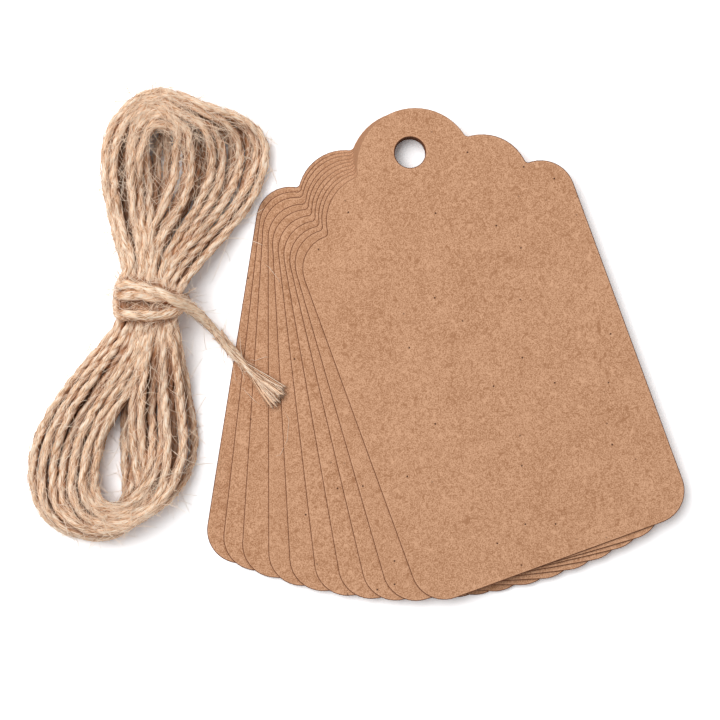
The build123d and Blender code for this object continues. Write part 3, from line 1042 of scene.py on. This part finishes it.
class GIFTTAG_OT_fray_tail(bpy.types.Operator):
    bl_idname = "gift_tag.fray_tail"
    bl_label = "Fray the tail"

    def execute(self, context):
        twine = context.scene.gift_tag.twine
        card = context.scene.gift_tag.card
        strand = Strand(twine)
        rng = np.random.default_rng(5)
        lines, tints = [], []
        for _ in range(twine.brush):
            lines.append(fray(rng, strand, twine.diameter, card))
            tints.append(mixed_tint(rng, ((0.05, 0.3), (0.3, 0.7), (0.6, 1.0)), (0.32, 0.34, 0.34)))
        add_fibres("frayed_tip", lines, tints, bpy.data.materials["jute_fibre"])

        return {"FINISHED"}


# Stage

# Middle of the picture and the lamp's place from there in metres, and the camera's sensor in millimetres
PICTURE_CENTRE = (-0.0105, -0.0436, 0.00445)
LAMP_OFFSET = (-0.38, 0.26, 0.80)
SENSOR = 36.0


class GIFTTAG_OT_set_stage(bpy.types.Operator):
    """Lay the pale floor and set the lamp and the camera"""

    bl_idname = "gift_tag.set_stage"
    bl_label = "Set the stage"

    def execute(self, context):
        scene = context.scene
        stage = scene.gift_tag.stage
        bm = bmesh.new()
        bmesh.ops.create_grid(bm, x_segments=8, y_segments=8, size=1.5)
        bmesh.ops.translate(bm, vec=(0, 0, -0.0001), verts=bm.verts)  # just below the cards
        mesh = bpy.data.meshes.new("studio_floor")
        bm.to_mesh(mesh)
        bm.free()
        new_piece("studio_floor", mesh, [floor_material(stage)])

        world = bpy.data.worlds.new("studio")
        world.use_nodes = True
        back = world.node_tree.nodes["Background"]
        back.inputs["Color"].default_value = (1.0, 1.0, 1.0, 1.0)
        back.inputs["Strength"].default_value = stage.fill
        scene.world = world

        centre = Vector(PICTURE_CENTRE)
        lamp = bpy.data.lights.new("key_lamp", "AREA")
        lamp.energy = stage.key_power
        lamp.size = 0.8
        key = bpy.data.objects.new("key_lamp", lamp)
        key.location = centre + Vector(LAMP_OFFSET)
        key.rotation_euler = (centre - key.location).to_track_quat("-Z", "Y").to_euler()
        scene.collection.objects.link(key)

        lens = bpy.data.cameras.new("camera")
        lens.sensor_width = SENSOR
        lens.lens = SENSOR * stage.distance / stage.picture
        camera = bpy.data.objects.new("camera", lens)
        camera.location = centre + stage.distance * Vector((0, -math.sin(stage.tilt), math.cos(stage.tilt)))
        camera.rotation_euler = (stage.tilt, 0, 0)
        scene.collection.objects.link(camera)
        scene.camera = camera
        scene.view_settings.view_transform = "Standard"
        return {"FINISHED"}


class GIFTTAG_PT_panel(bpy.types.Panel):
    """Gift tags and twine"""

    bl_idname = "GIFTTAG_PT_panel"
    bl_label = "Gift tags"
    bl_space_type = "VIEW_3D"
    bl_region_type = "UI"
    bl_category = "Gift tags"

    def draw(self, context):
        settings = context.scene.gift_tag
        for group, operators in (
            (settings.card, ("gift_tag.cut_cards",)),
            (settings.twine, ("gift_tag.wind_twine", "gift_tag.add_fibres", "gift_tag.fray_tail")),
            (settings.stage, ("gift_tag.set_stage",)),
        ):
            box = self.layout.box()
            for name in group.bl_rna.properties.keys():
                if name not in ("rna_type", "name"):
                    box.prop(group, name)
            for operator in operators:
                box.operator(operator)


CLASSES = (
    CardSettings,
    TwineSettings,
    StageSettings,
    GiftTagSettings,
    GIFTTAG_OT_cut_cards,
    GIFTTAG_OT_wind_twine,
    GIFTTAG_OT_add_fibres,
    GIFTTAG_OT_fray_tail,
    GIFTTAG_OT_set_stage,
    GIFTTAG_PT_panel,
)


def register():
    for made in CLASSES:
        bpy.utils.register_class(made)
    bpy.types.Scene.gift_tag = PointerProperty(type=GiftTagSettings)


def unregister():
    del bpy.types.Scene.gift_tag
    for made in reversed(CLASSES):
        bpy.utils.unregister_class(made)


def main():
    register()
    bpy.ops.gift_tag.set_stage()
    bpy.ops.gift_tag.cut_cards()
    bpy.ops.gift_tag.wind_twine()
    bpy.ops.gift_tag.add_fibres()
    bpy.ops.gift_tag.fray_tail()


if __name__ == "__main__":
    main()
